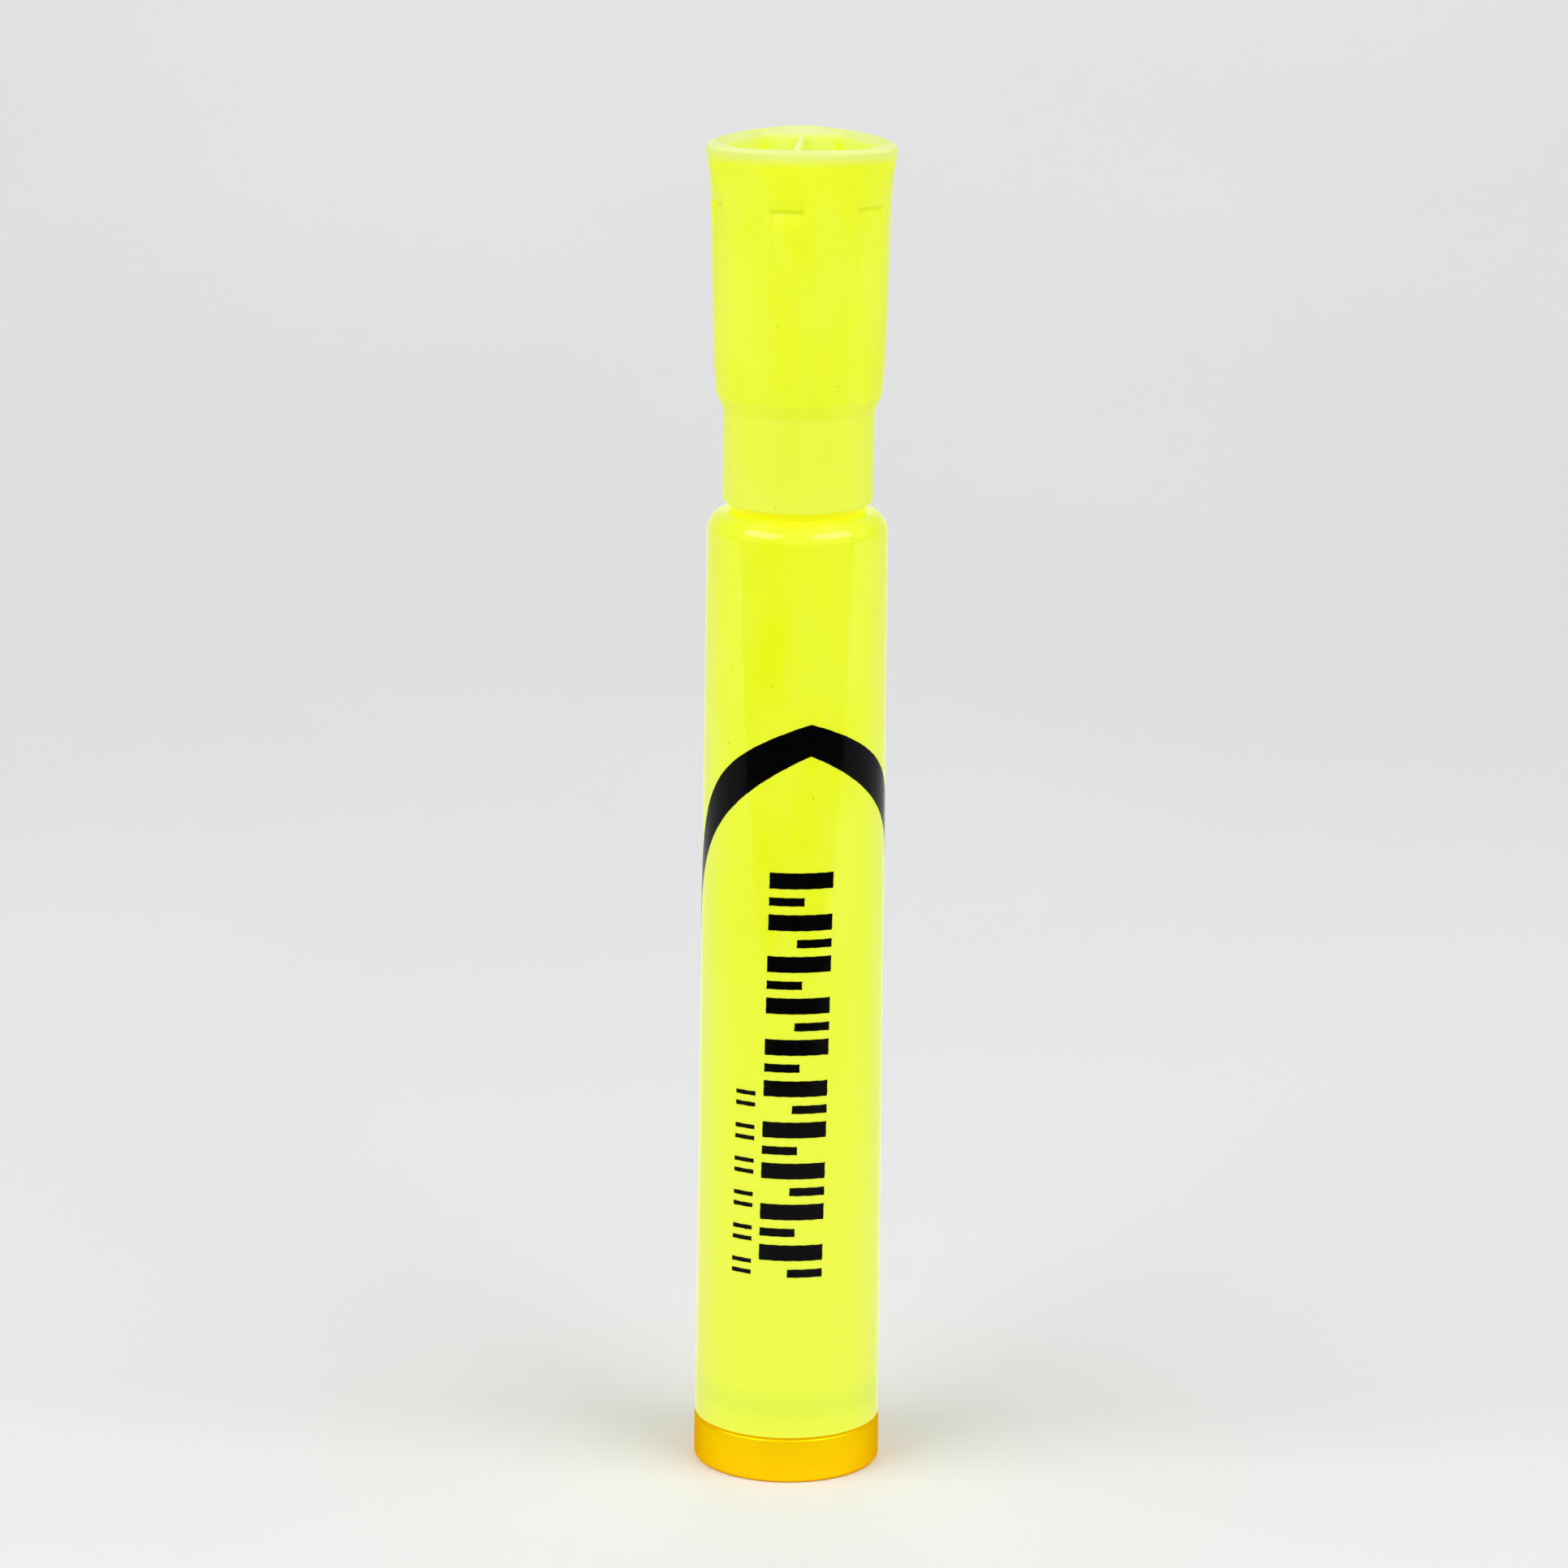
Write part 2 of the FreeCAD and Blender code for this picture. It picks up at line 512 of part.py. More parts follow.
def make_cap_shell():
    """Turned cup, lofted to a rounded triangle at the rim, then recessed, ribbed and fluted."""
    body = turned_part("cap_shell", [
        ("cap_bore", "skirt_low"), ("skirt_r", "skirt_low"), ("skirt_top_r", "step_low"),
        ("step_r", "step_top"), ("waist_r", "waist_z"), ("girth_r", "girth_z"),
        ("0", "girth_z"), ("0", "cap_bore_top"), ("cap_bore", "cap_bore_top")])
    girth = new_sketch(body, "cap_girth_outline", "XY_Plane", height="girth_z")
    draw_girth(girth)
    rim = new_sketch(body, "cap_rim_outline", "XY_Plane", height="rim_z")
    draw_rim(rim)
    flare = body.newObject("PartDesign::AdditiveLoft", "cap_flare")
    flare.Profile = girth
    flare.Sections = [rim]
    flare.Ruled = True
    doc.recompute()

    recess = new_sketch(body, "cap_recess_outline", "XY_Plane", height="rim_z")
    add_outline(recess, [
        ("-recess_flat", "-recess_half"), ("recess_flat", "-recess_half"),
        ("recess_point", "0"), ("recess_flat", "recess_half"),
        ("-recess_flat", "recess_half"), ("-recess_point", "0")])
    hollow = body.newObject("PartDesign::Pocket", "cap_recess")
    hollow.Profile = recess
    hollow.setExpression("Length", "dims.rim_z - dims.recess_floor")
    doc.recompute()

    rib = new_sketch(body, "cap_rib_outline", "XY_Plane", height="recess_floor")
    rib.AttachmentOffset = FreeCAD.Placement(
        FreeCAD.Vector(0, 0, DIMS["recess_floor"]),
        FreeCAD.Rotation(FreeCAD.Vector(0, 0, 1), RIB_ANGLE))
    add_outline(rib, [
        ("-rib_half", "-rib_reach"), ("rib_half", "-rib_reach"),
        ("rib_half", "rib_reach"), ("-rib_half", "rib_reach")])
    wall = body.newObject("PartDesign::Pad", "cap_rib")
    wall.Profile = rib
    wall.setExpression("Length", "dims.rim_z - dims.rib_drop - dims.recess_floor")
    doc.recompute()

    flute = cut_across(body, "cap_flute", [
        ("flute_low_r", "flute_low"), ("flute_ledge_r", "flute_ledge"),
        ("flute_top_r", "flute_top"), ("flute_out_r", "flute_top"),
        ("flute_out_r", "flute_low")], "flute_half", turn=FLUTE_ANGLE)
    ring = body.newObject("PartDesign::PolarPattern", "cap_flutes")
    ring.Originals = [flute]
    ring.Axis = (flute.Profile[0], ["V_Axis"])
    ring.Angle = 360.0
    ring.Occurrences = FLUTE_COUNT
    body.Tip = ring


def make_cap_liner():
    turned_part("cap_liner", [
        ("liner_bore", "liner_low"), ("liner_r", "liner_low"), ("liner_r", "cap_bore_top"),
        ("0", "cap_bore_top"), ("0", "liner_roof"), ("liner_bore", "liner_roof")])


def make_cap_gasket():
    turned_part("cap_gasket", [
        ("liner_bore", "gasket_low"), ("liner_r", "gasket_low"), ("liner_r", "liner_low"),
        ("liner_bore", "liner_low")])


fill_sheet()
make_base_ring()
make_base_core()
make_base_pad()
make_drive_screw()
make_retaining_clip()
soft_ring("knob_o_ring", "drag_ring_r", "drag_ring_section", "drag_ring_z")
make_end_bush()
make_thrust_washer()
make_guide_sleeve()
make_barrel()
make_nose()
soft_ring("nose_o_ring", "seal_ring_r", "seal_section", "seal_ring_z")
make_nib_wiper()
make_carrier()
make_follower_pins()
make_cartridge_plug()
make_cartridge_tube()
make_ink_reservoir()
make_reservoir_film()
make_nib_holder()
make_chisel_nib()
make_cap_shell()
make_cap_liner()
make_cap_gasket()
doc.recompute()

for item in doc.Objects:
    if "Invalid" in item.State or "Error" in item.State:
        raise RuntimeError(item.Label + ": " + ", ".join(item.State))
os.makedirs("parts", exist_ok=True)
for part in parts:
    shape = part.Shape
    if shape.isNull() or not shape.isValid() or not shape.Solids:
        raise RuntimeError(part.Label + ": bad shape")
    shape.exportStep(os.path.join("parts", part.Label + ".step"))
    print("%-16s %d solid(s) %9.2f mm3  z %.2f to %.2f" % (
        part.Label, len(shape.Solids), shape.Volume, shape.BoundBox.ZMin, shape.BoundBox.ZMax))
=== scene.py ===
# %% [markdown]
# # A capped highlighter with a gold twist ring
# The frame is a working model of a desk highlighter: a tapered barrel, a pull-off cap, a gold ring
# that twists, and an ink cartridge that climbs inside. It fixes every size. This lesson builds the
# surfaces that a person sees around that frame, gives each one a finish, and lights them on a
# pale sweep. The frame comes first, because every later place is read from it.

# %% Load the frame
import json
import math

import bmesh
import bpy
from mathutils import Euler, Matrix, Vector


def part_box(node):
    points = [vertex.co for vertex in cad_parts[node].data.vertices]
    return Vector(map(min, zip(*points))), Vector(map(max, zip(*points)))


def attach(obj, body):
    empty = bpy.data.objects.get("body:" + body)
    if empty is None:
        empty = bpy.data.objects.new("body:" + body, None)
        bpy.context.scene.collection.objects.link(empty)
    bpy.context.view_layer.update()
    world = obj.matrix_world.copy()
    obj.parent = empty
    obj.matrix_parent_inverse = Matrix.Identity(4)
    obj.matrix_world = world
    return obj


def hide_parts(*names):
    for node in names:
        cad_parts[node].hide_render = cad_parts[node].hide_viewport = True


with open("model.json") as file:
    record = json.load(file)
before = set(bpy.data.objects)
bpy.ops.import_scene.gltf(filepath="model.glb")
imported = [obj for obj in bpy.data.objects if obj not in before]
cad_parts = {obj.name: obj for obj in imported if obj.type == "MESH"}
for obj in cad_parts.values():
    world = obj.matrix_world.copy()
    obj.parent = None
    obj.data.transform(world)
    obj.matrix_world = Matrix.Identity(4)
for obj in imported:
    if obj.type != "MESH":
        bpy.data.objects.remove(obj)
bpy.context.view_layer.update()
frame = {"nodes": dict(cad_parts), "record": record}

MM = 0.001

# %% [markdown]
# The camera stands a little above the rim and looks down along a long lens, so the sides of the
# barrel stay almost parallel. It is rolled and panned by under a degree, because a camera that is
# held or levelled by eye always is. A long lens far away is chosen over a short one close by: it
# keeps the ellipses of the rim and the foot flat.

# %% Camera
CAMERA_DISTANCE = 0.6
CAMERA_HEIGHT = 0.2138
CAMERA_PITCH = math.radians(13.71)
CAMERA_PAN = math.radians(0.093)
CAMERA_ROLL = math.radians(0.69)
LENS = 148.3

camera_data = bpy.data.cameras.new("camera")
camera_data.lens = LENS
camera_data.sensor_width = 36.0
camera_data.clip_end = 20.0
camera = bpy.data.objects.new("camera", camera_data)
bpy.context.scene.collection.objects.link(camera)
aim = Euler((math.radians(90.0) - CAMERA_PITCH, 0.0, CAMERA_PAN)).to_matrix().to_4x4()
camera.matrix_world = (
    Matrix.Translation((0.0, -CAMERA_DISTANCE, CAMERA_HEIGHT))
    @ aim
    @ Matrix.Rotation(CAMERA_ROLL, 4, "Z")
)
bpy.context.scene.camera = camera
print("camera looks down %.1f degrees" % math.degrees(CAMERA_PITCH))

# %% [markdown]
# Materials are node trees. Small helpers keep the later cells short: one starts a material on a
# Principled shader, one adds a node and sets its values, and the others blend two colours, make a
# soft step, scale a value and add relief. A colour that is the same all over goes on the shader's
# own socket.

# %% Material helpers
def start_material(name, colour, roughness, metallic=0.0):
    """New material: its tree, its Principled shader and the object coordinates."""
    material = bpy.data.materials.new(name)
    material.use_nodes = True
    tree = material.node_tree
    shader = tree.nodes["Principled BSDF"]
    shader.inputs["Base Color"].default_value = (*colour, 1.0)
    shader.inputs["Roughness"].default_value = roughness
    shader.inputs["Metallic"].default_value = metallic
    coordinates = tree.nodes.new("ShaderNodeTexCoord").outputs["Object"]
    return material, tree, shader, coordinates


def add_node(tree, kind, settings=None, **links):
    """Node of a kind, with its settings, and with inputs linked or set by name."""
    node = tree.nodes.new("ShaderNode" + kind)
    for key, value in (settings or {}).items():
        setattr(node, key, value)
    for key, value in links.items():
        socket = node.inputs[key.replace("_", " ")]
        if isinstance(value, bpy.types.NodeSocket):
            tree.links.new(value, socket)
        else:
            socket.default_value = value
    return node


def blend_colours(tree, factor, first, second):
    """Colour output that goes from first to second as factor goes from 0 to 1."""
    node = tree.nodes.new("ShaderNodeMix")
    node.data_type = "RGBA"
    pairs = ((node.inputs[0], factor), (node.inputs[6], first), (node.inputs[7], second))
    for socket, value in pairs:
        if isinstance(value, bpy.types.NodeSocket):
            tree.links.new(value, socket)
        elif isinstance(value, tuple):
            socket.default_value = (*value, 1.0)
        else:
            socket.default_value = value
    return node.outputs[2]


def ramp(tree, value, low, high):
    """0 below low, 1 above high, smooth between. High may be the smaller of the two."""
    node = tree.nodes.new("ShaderNodeMapRange")
    node.interpolation_type = "SMOOTHSTEP"
    tree.links.new(value, node.inputs["Value"])
    node.inputs["From Min"].default_value = min(low, high)
    node.inputs["From Max"].default_value = max(low, high)
    node.inputs["To Min"].default_value = 0.0 if low < high else 1.0
    node.inputs["To Max"].default_value = 1.0 if low < high else 0.0
    return node.outputs["Result"]


def between(tree, share, first, second):
    """Value output that goes from first to second as share goes from 0 to 1."""
    node = add_node(tree, "MapRange", Value=share)
    node.inputs["To Min"].default_value = first
    node.inputs["To Max"].default_value = second
    return node.outputs["Result"]


def add_bump(tree, shader, height, distance, strength=1.0):
    """Small relief: distance is its depth in metres."""
    bump = add_node(tree, "Bump", Height=height, Distance=distance, Strength=strength)
    tree.links.new(bump.outputs["Normal"], shader.inputs["Normal"])


# %% [markdown]
# The barrel and the cap are the same fluorescent plastic. Its dye turns unseen light into yellow
# green, so it looks as bright as the paper behind it. A little emission of the dye's colour, a
# painted glow, stands in for this on top of a strong diffuse colour with light scattered under the
# skin. It also fills the plastic's shade, so shaded parts stay almost as bright as lit ones.
# The glow is weaker where the wall is seen edge on: painted shade that keeps the round sides from
# looking flat. Paler clouds are drawn out up the axis, the way the melt ran. The cap comes from
# a spark-eroded mould, so it is satin, and the barrel's mould is polished. Handling leaves a few
# dark specks, made from the cells of a Voronoi texture: only cells whose random value is above a
# limit keep their small dot.

# %% Fluorescent plastic
DYE = (0.49, 0.555, 0.006)
DYE_PALE = (0.515, 0.573, 0.036)
# Colour of the painted glow: it stands in for the dye's fluorescence and fills the plastic's shade.
PAINTED_GLOW_COLOUR = (0.88, 1.0, 0.0)
DUST = (0.20, 0.24, 0.03)
SPECK_CELL = 1.9 * MM
SPECK_SIZE = 0.034
EDGE_SHADE_LOSS = 0.24


def dyed_plastic(name, roughness, glow, grain, specks):
    """Fluorescent plastic; grain is the mould texture's depth in metres."""
    material, tree, shader, place = start_material(name, DYE, roughness)
    drawn = add_node(tree, "Mapping", Vector=place)
    drawn.inputs["Scale"].default_value = (1.0, 1.0, 0.4)
    cloud = add_node(tree, "TexNoise", Vector=drawn.outputs[0], Scale=210.0, Detail=3.0)
    colour = blend_colours(tree, ramp(tree, cloud.outputs["Fac"], 0.35, 0.7), DYE, DYE_PALE)
    cells = add_node(tree, "TexVoronoi", Vector=place, Scale=1.0 / SPECK_CELL)
    dot = ramp(tree, cells.outputs["Distance"], SPECK_SIZE * 1.6, SPECK_SIZE)
    chance = add_node(tree, "SeparateColor", Color=cells.outputs["Color"]).outputs["Red"]
    kept = add_node(tree, "Math", {"operation": "GREATER_THAN"}, Value=chance)
    kept.inputs[1].default_value = specks
    both = add_node(tree, "Math", {"operation": "MULTIPLY"})
    tree.links.new(dot, both.inputs[0])
    tree.links.new(kept.outputs[0], both.inputs[1])
    colour = blend_colours(tree, both.outputs[0], colour, DUST)
    tree.links.new(colour, shader.inputs["Base Color"])
    shader.inputs["Subsurface Weight"].default_value = 0.35
    shader.inputs["Subsurface Radius"].default_value = (0.9, 1.0, 0.15)
    shader.inputs["Subsurface Scale"].default_value = 1.2 * MM
    # The emission is a painted glow that fills the shade on the plastic.
    shader.inputs["Emission Color"].default_value = (*PAINTED_GLOW_COLOUR, 1.0)
    # Painted shade: the glow is weaker where the wall is seen edge on.
    facing = add_node(tree, "LayerWeight", Blend=0.5).outputs["Facing"]
    edge_shaded_glow = between(tree, ramp(tree, facing, 0.25, 1.0), glow, glow * (1.0 - EDGE_SHADE_LOSS))
    tree.links.new(edge_shaded_glow, shader.inputs["Emission Strength"])
    fine = add_node(tree, "TexNoise", Vector=place, Scale=5200.0, Detail=2.0).outputs["Fac"]
    add_bump(tree, shader, fine, grain)
    return material, tree, shader, place, colour


cap_finish, tree, shader, place, plastic_colour = dyed_plastic(
    "satin_dyed_plastic", 0.40, 0.425, 0.008 * MM, specks=0.35)

# %% [markdown]
# The rim and the inside of the recess are painted paler. On the rim this is a painted sheen,
# where the room's light glances off the dished rim. In the recess it is painted light. The height
# picks out the rim. The distance from the axis picks out the recess: a vector's length, once its
# upward part is set to nothing, is that distance.

# %% Painted sheen on the rim
# Colour of the painted sheen on the rim and in the recess.
RIM_SHEEN_COLOUR = (0.42, 0.47, 0.27)
RIM_FADE = 1.7 * MM
RECESS_EDGE = 7.3 * MM
RECESS_SHEEN_SHARE = 0.6
rim_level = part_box("cap_shell")[1][2]

height = add_node(tree, "SeparateXYZ", Vector=place).outputs["Z"]
rim = ramp(tree, height, rim_level - RIM_FADE, rim_level - 0.1 * MM)
flat = add_node(tree, "VectorMath", {"operation": "MULTIPLY"})
tree.links.new(place, flat.inputs[0])
flat.inputs[1].default_value = (1.0, 1.0, 0.0)
distance = add_node(tree, "VectorMath", {"operation": "LENGTH"})
tree.links.new(flat.outputs[0], distance.inputs[0])
inside = ramp(tree, distance.outputs["Value"], RECESS_EDGE, RECESS_EDGE - 0.5 * MM)
recess_sheen = add_node(tree, "Math", {"operation": "MULTIPLY"})
tree.links.new(inside, recess_sheen.inputs[0])
recess_sheen.inputs[1].default_value = RECESS_SHEEN_SHARE
painted_sheen = add_node(tree, "Math", {"operation": "MAXIMUM"})
tree.links.new(rim, painted_sheen.inputs[0])
tree.links.new(recess_sheen.outputs[0], painted_sheen.inputs[1])
# Painted sheen: the rim and the recess are blended towards the paler colour.
tree.links.new(blend_colours(tree, painted_sheen.outputs[0], plastic_colour, RIM_SHEEN_COLOUR), shader.inputs["Base Color"])
shader.inputs["Specular IOR Level"].default_value = 0.38
print("made", cap_finish.name)

# %% [markdown]
# The barrel is a thin tube. The edge of the bush inside shows through the wall as a faint green
# band of painted shade above the foot. The lower half is painted paler because the white table
# shines into it. Both follow the height in object coordinates, so they stay in place however the
# part is turned. The gloss is a thin coat that fades where the wall turns away, so that the sides
# don't mirror the bright room as a white line.

# %% Barrel plastic
bush_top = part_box("end_bush")[1][2]
barrel_low, barrel_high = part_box("barrel")[0][2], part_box("barrel")[1][2]
BAND_SOFTNESS = 1.5 * MM
BUSH_SHADE_COLOUR = (0.44, 0.545, 0.055)
TABLE_LIGHT_COLOUR = (0.53, 0.58, 0.055)
COAT_FRONT = 0.50
COAT_EDGE = 0.04

barrel_finish, tree, shader, place, plastic_colour = dyed_plastic(
    "polished_dyed_plastic", 0.15, 0.425, 0.0008 * MM, specks=0.7)
height = add_node(tree, "SeparateXYZ", Vector=place).outputs["Z"]
# Painted light: paler towards the foot, where the white table shines into the wall.
table_light = ramp(tree, height, barrel_low + 62.0 * MM, barrel_low + 4.0 * MM)
plastic_colour = blend_colours(tree, table_light, plastic_colour, TABLE_LIGHT_COLOUR)
# Painted shade: a darker green band where the bush's edge shows through the wall.
rising = ramp(tree, height, bush_top - 1.6 * BAND_SOFTNESS, bush_top - 0.3 * BAND_SOFTNESS)
falling = ramp(tree, height, bush_top + 1.4 * BAND_SOFTNESS, bush_top - 0.2 * BAND_SOFTNESS)
bush_shade = add_node(tree, "Math", {"operation": "MULTIPLY"})
tree.links.new(rising, bush_shade.inputs[0])
tree.links.new(falling, bush_shade.inputs[1])
plastic_colour = blend_colours(tree, bush_shade.outputs[0], plastic_colour, BUSH_SHADE_COLOUR)
tree.links.new(plastic_colour, shader.inputs["Base Color"])
shader.inputs["Specular IOR Level"].default_value = 0.22
facing = add_node(tree, "LayerWeight", Blend=0.5).outputs["Facing"]
coat = between(tree, ramp(tree, facing, 0.55, 0.92), COAT_FRONT, COAT_EDGE)
tree.links.new(coat, shader.inputs["Coat Weight"])
shader.inputs["Coat Roughness"].default_value = 0.10
print("made", barrel_finish.name)

# %% [markdown]
# The foot ring is anodised aluminium. Dye in the oxide makes it gold, and the lathe leaves fine
# rings, so the noise that gives its relief is stretched along the turn: the coordinates are
# squeezed across and kept up the axis. Its edge tint is a dark amber, because the dye swallows
# more light where the path through the oxide is slanted. A faint amber glow stands for the light
# that the bright barrel sheds on the ring. The print is a thick black screen ink,
# smooth enough to mirror the room.

# %% Metal, ink and the inner materials
def gold_metal():
    """Gold anodised aluminium with fine turned rings."""
    material, tree, shader, place = start_material("gold_anodised", (1.0, 0.64, 0.002), 0.44, 1.0)
    squeeze = add_node(tree, "Mapping", Vector=place)
    squeeze.inputs["Scale"].default_value = (0.02, 0.02, 1.0)
    lines = add_node(tree, "TexNoise", Vector=squeeze.outputs[0], Scale=9000.0, Detail=2.0)
    tone = ramp(tree, lines.outputs["Fac"], 0.3, 0.7)
    colour = blend_colours(tree, tone, (1.0, 0.63, 0.001), (1.0, 0.68, 0.004))
    tree.links.new(colour, shader.inputs["Base Color"])
    shader.inputs["Specular Tint"].default_value = (0.72, 0.42, 0.05, 1.0)
    shader.inputs["Emission Color"].default_value = (1.0, 0.52, 0.0, 1.0)
    shader.inputs["Emission Strength"].default_value = 0.115
    add_bump(tree, shader, lines.outputs["Fac"], 0.0015 * MM)
    return material


def moulded(name, colour, shade, roughness, cell, depth, scatter=0.0):
    """Moulded plastic or rubber: cloudy colour and a fine grain of a given cell size."""
    material, tree, shader, place = start_material(name, colour, roughness)
    cloud = add_node(tree, "TexNoise", Vector=place, Scale=220.0, Detail=3.0).outputs["Fac"]
    mixed = blend_colours(tree, ramp(tree, cloud, 0.3, 0.75), colour, shade)
    tree.links.new(mixed, shader.inputs["Base Color"])
    shader.inputs["Subsurface Weight"].default_value = scatter
    shader.inputs["Subsurface Scale"].default_value = 1.0 * MM
    grain = add_node(tree, "TexNoise", Vector=place, Scale=1.0 / cell, Detail=3.0).outputs["Fac"]
    add_bump(tree, shader, grain, depth)
    return material


def neck_plastic():
    """Plastic of the nose: more dye, and a glow that is strong only low down, by the seam.

    The glow is painted light: the barrel and the cap lead their own light into the collar between
    them. Further up the nose stands free, with a weaker painted glow over its ordinary shading.
    """
    material = moulded("nose_dyed_plastic", (0.56, 0.54, 0.001), (0.52, 0.51, 0.002),
                       0.36, 0.20 * MM, 0.004 * MM, 0.3)
    tree = material.node_tree
    shader = tree.nodes["Principled BSDF"]
    place = add_node(tree, "TexCoord").outputs["Object"]
    height = add_node(tree, "SeparateXYZ", Vector=place).outputs["Z"]
    painted_seam_glow = ramp(tree, height, barrel_high + 2.2 * MM, barrel_high + 1.0 * MM)
    # Painted glow: stronger low down by the seam, weaker above.
    tree.links.new(between(tree, painted_seam_glow, 0.32, 0.50), shader.inputs["Emission Strength"])
    shader.inputs["Emission Color"].default_value = (1.0, 0.98, 0.0, 1.0)
    shader.inputs["Specular IOR Level"].default_value = 0.3
    return material


def pressed_felt(name, colour, shade):
    """Felt: short fibres that run up the axis."""
    material, tree, shader, place = start_material(name, colour, 0.85)
    stretch = add_node(tree, "Mapping", Vector=place)
    stretch.inputs["Scale"].default_value = (1.0, 1.0, 0.16)
    fibre = add_node(tree, "TexNoise", Vector=stretch.outputs[0], Scale=7000.0, Detail=4.0)
    tone = ramp(tree, fibre.outputs["Fac"], 0.35, 0.7)
    tree.links.new(blend_colours(tree, tone, shade, colour), shader.inputs["Base Color"])
    shader.inputs["Sheen Weight"].default_value = 0.3
    add_bump(tree, shader, fibre.outputs["Fac"], 0.05 * MM)
    return material


FINISHES = {
    "gold_metal": gold_metal(),
    "barrel_plastic": barrel_finish,
    "cap_plastic": cap_finish,
    "nose_plastic": neck_plastic(),
    "core_plastic": moulded("amber_core", (0.75, 0.42, 0.02), (0.62, 0.34, 0.02),
                            0.45, 0.25 * MM, 0.010 * MM),
    "foot_rubber": moulded("foot_rubber", (0.030, 0.030, 0.032), (0.045, 0.045, 0.045),
                           0.75, 0.30 * MM, 0.030 * MM),
    "seal_rubber": moulded("seal_rubber", (0.035, 0.035, 0.035), (0.05, 0.05, 0.05),
                           0.55, 0.15 * MM, 0.006 * MM),
    "inner_plastic": moulded("natural_plastic", (0.80, 0.80, 0.76), (0.72, 0.73, 0.69),
                             0.45, 0.20 * MM, 0.006 * MM, 0.2),
    "cartridge_plastic": moulded("cartridge_plastic", (0.78, 0.82, 0.60), (0.70, 0.77, 0.52),
                                 0.30, 0.30 * MM, 0.004 * MM, 0.3),
    "liner_plastic": moulded("liner_plastic", (0.82, 0.86, 0.40), (0.76, 0.82, 0.34),
                             0.40, 0.20 * MM, 0.005 * MM, 0.3),
    "film": moulded("film", (0.80, 0.86, 0.42), (0.76, 0.84, 0.36), 0.22, 0.40 * MM, 0.004 * MM),
    "ink_felt": pressed_felt("ink_felt", (0.80, 0.92, 0.02), (0.62, 0.76, 0.01)),
    "nib_felt": pressed_felt("nib_felt", (0.78, 0.90, 0.015), (0.55, 0.70, 0.005)),
    "steel": start_material("turned_steel", (0.55, 0.55, 0.56), 0.3, 1.0)[0],
}
print("finishes:", len(FINISHES))


def ink_finish():
    """Black screen ink, glossy, with a slightly orange-peel skin."""
    material, tree, shader, place = start_material("black_ink", (0.001, 0.001, 0.001), 0.14)
    shader.inputs["Specular IOR Level"].default_value = 0.075
    peel = add_node(tree, "TexNoise", Vector=place, Scale=900.0, Detail=2.0).outputs["Fac"]
    tone = ramp(tree, peel, 0.3, 0.8)
    colour = blend_colours(tree, tone, (0.0006, 0.0006, 0.0006), (0.0016, 0.0016, 0.0015))
    tree.links.new(colour, shader.inputs["Base Color"])
    add_bump(tree, shader, peel, 0.004 * MM)
    return material


black_ink = ink_finish()

# %% [markdown]
# Each CAD node carries the name of its material slot in the record. One loop hands every node its
# finish, so the inner mechanism is dressed too and shows well when the cap is off.

# %% Dress the CAD nodes
slot_of = {row["node"]: row["material_slot"] for row in frame["record"]["subparts"]}
for node, thing in frame["nodes"].items():
    thing.data.materials.clear()
    thing.data.materials.append(FINISHES[slot_of[node]])
print("dressed", len(slot_of), "nodes")

# %% [markdown]
# Most of the highlighter is turned. A turned piece starts as an open line of corners in the XZ
# plane; a full spin about Z makes the surface, and bevels round the rings that a mould rounds.
# Spinning is chosen over stacking cylinders, because one profile gives both walls of a tube.

# %% Turning helpers
def spin_profile(corners, steps=192):
    """Closed solid turned from (radius, height) corners in millimetres, first joined to last."""
    bm = bmesh.new()
    verts = []
    for radius, level in corners:
        verts.append(bm.verts.new((radius * MM, 0.0, level * MM)))
    ends_on_axis = corners[0][0] == 0.0 and corners[-1][0] == 0.0
    pairs = list(zip(verts, verts[1:]))
    if not ends_on_axis:
        pairs.append((verts[-1], verts[0]))
    for first, second in pairs:
        bm.edges.new((first, second))
    bmesh.ops.spin(
        bm, geom=bm.verts[:] + bm.edges[:], cent=(0, 0, 0), axis=(0, 0, 1),
        angle=math.tau, steps=steps, use_merge=True)
    bmesh.ops.remove_doubles(bm, verts=bm.verts[:], dist=0.0005 * MM)
    bmesh.ops.recalc_face_normals(bm, faces=bm.faces[:])
    return bm


def round_rings(bm, rings, segments=6):
    """Bevel the circular edges at each (radius, height, size), in millimetres."""
    for radius, level, size in rings:
        edges = []
        for edge in bm.edges:
            low, high = edge.verts[0].co, edge.verts[1].co
            flat = abs(low.z - level * MM) < 0.002 * MM and abs(high.z - level * MM) < 0.002 * MM
            same = abs(math.hypot(low.x, low.y) - radius * MM) < 0.002 * MM
            if flat and same and abs(math.hypot(high.x, high.y) - radius * MM) < 0.002 * MM:
                edges.append(edge)
        bmesh.ops.bevel(
            bm, geom=edges, offset=size * MM, offset_type="OFFSET", segments=segments,
            profile=0.5, affect="EDGES", material=-1, clamp_overlap=True)


def add_piece(name, bm, finish, body, replaces=None):
    """Turn the bmesh into a smooth object that rides on a body."""
    mesh = bpy.data.meshes.new(name)
    bm.to_mesh(mesh)
    bm.free()
    piece = bpy.data.objects.new(name, mesh)
    bpy.context.scene.collection.objects.link(piece)
    mesh.materials.append(finish)
    mesh.shade_smooth()
    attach(piece, body)
    if replaces:
        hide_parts(replaces)
    print("%-12s %6d faces" % (name, len(mesh.polygons)))
    return piece


